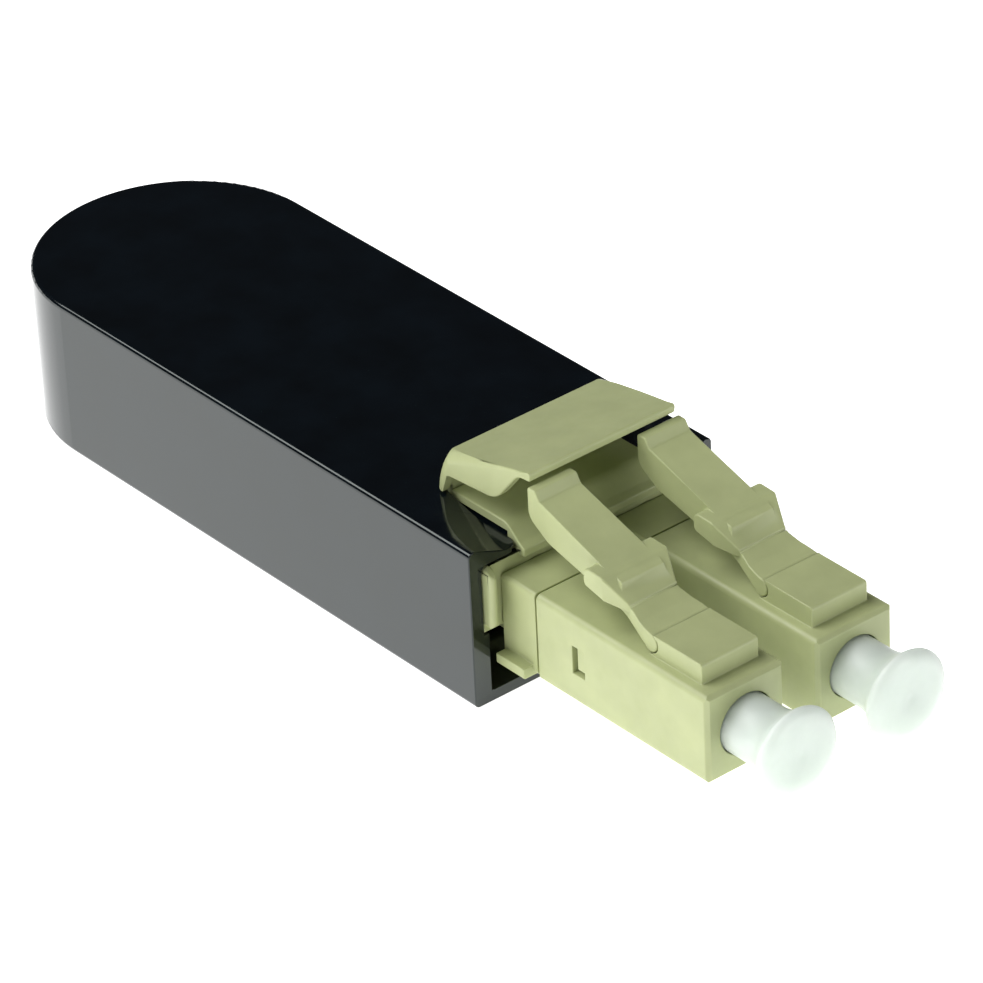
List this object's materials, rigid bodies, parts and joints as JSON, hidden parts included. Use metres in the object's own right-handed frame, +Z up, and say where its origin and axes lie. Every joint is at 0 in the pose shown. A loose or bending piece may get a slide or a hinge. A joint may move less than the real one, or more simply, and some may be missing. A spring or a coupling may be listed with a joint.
{
  "type": "fibre loopback plug",
  "caption": "Duplex fibre loopback plug: a D-shaped black shell with a fibre loop inside, two beige snap-in connectors with a joint release trigger, and white dust caps.",
  "frame": {"origin": "On the plane that the shell stands on, under the middle of the whole plug's box.", "axes": "+X runs forward, out of the connector noses; +Y across the pair, from connector A to connector B; +Z up, out of the side that has the trigger."},
  "size_m": [0.0534, 0.014, 0.0113],
  "materials": {
    "shell_plastic": "glossy black moulded plastic",
    "connector_plastic": "satin olive-beige moulded plastic",
    "cap_plastic": "soft white slightly see-through plastic",
    "ferrule_ceramic": "polished white ceramic",
    "holder_metal": "turned metal",
    "spring_steel": "drawn spring wire",
    "guide_plastic": "milky plastic tubing",
    "fibre_jacket": "orange tight-buffered fibre"
  },
  "bodies": {
    "root": {"shell": "shell_plastic", "duplex_clip": "connector_plastic", "front_body_a": "connector_plastic", "front_body_b": "connector_plastic", "rear_body_a": "connector_plastic", "rear_body_b": "connector_plastic", "ferrule_spring_a": "spring_steel", "ferrule_spring_b": "spring_steel", "guide_tube_a": "guide_plastic", "guide_tube_b": "guide_plastic", "fibre_loop": "fibre_jacket"},
    "trigger": {"trigger": "connector_plastic"},
    "latch_a": {"latch_arm_a": "connector_plastic"},
    "latch_b": {"latch_arm_b": "connector_plastic"},
    "ferrule_unit_a": {"ferrule_a": "ferrule_ceramic", "ferrule_holder_a": "holder_metal"},
    "ferrule_unit_b": {"ferrule_b": "ferrule_ceramic", "ferrule_holder_b": "holder_metal"},
    "cap_a": {"dust_cap_a": "cap_plastic"},
    "cap_b": {"dust_cap_b": "cap_plastic"}
  },
  "joints": [
    {"name": "trigger_press", "type": "hinge", "parent": "root", "child": "trigger", "pos_m": [0.00483, 0, 0.00777], "axis": [0, 1, 0], "range_deg": [0, 12], "stiffness_Nm_per_rad": 0.02},
    {"name": "latch_a_press", "type": "hinge", "parent": "root", "child": "latch_a", "pos_m": [0.01897, -0.00313, 0.0069], "axis": [0, -1, 0], "range_deg": [0, 9], "stiffness_Nm_per_rad": 0.02},
    {"name": "latch_b_press", "type": "hinge", "parent": "root", "child": "latch_b", "pos_m": [0.01897, 0.00313, 0.0069], "axis": [0, -1, 0], "range_deg": [0, 9], "stiffness_Nm_per_rad": 0.02},
    {"name": "ferrule_a_float", "type": "slide", "parent": "root", "child": "ferrule_unit_a", "axis": [-1, 0, 0], "range_m": [0, 0.0006], "stiffness_N_per_m": 800, "springref_m": -0.0005, "deforming": ["ferrule_spring_a"]},
    {"name": "ferrule_b_float", "type": "slide", "parent": "root", "child": "ferrule_unit_b", "axis": [-1, 0, 0], "range_m": [0, 0.0006], "stiffness_N_per_m": 800, "springref_m": -0.0005, "deforming": ["ferrule_spring_b"]},
    {"name": "cap_a_pull", "type": "slide", "parent": "root", "child": "cap_a", "axis": [1, 0, 0], "range_m": [0, 0.006]},
    {"name": "cap_b_pull", "type": "slide", "parent": "root", "child": "cap_b", "axis": [1, 0, 0], "range_m": [0, 0.006]}
  ],
  "couplings": [
    {"joint": "latch_a_press", "follows": "trigger_press", "ratio": 0.75},
    {"joint": "latch_b_press", "follows": "trigger_press", "ratio": 0.75}
  ]
}
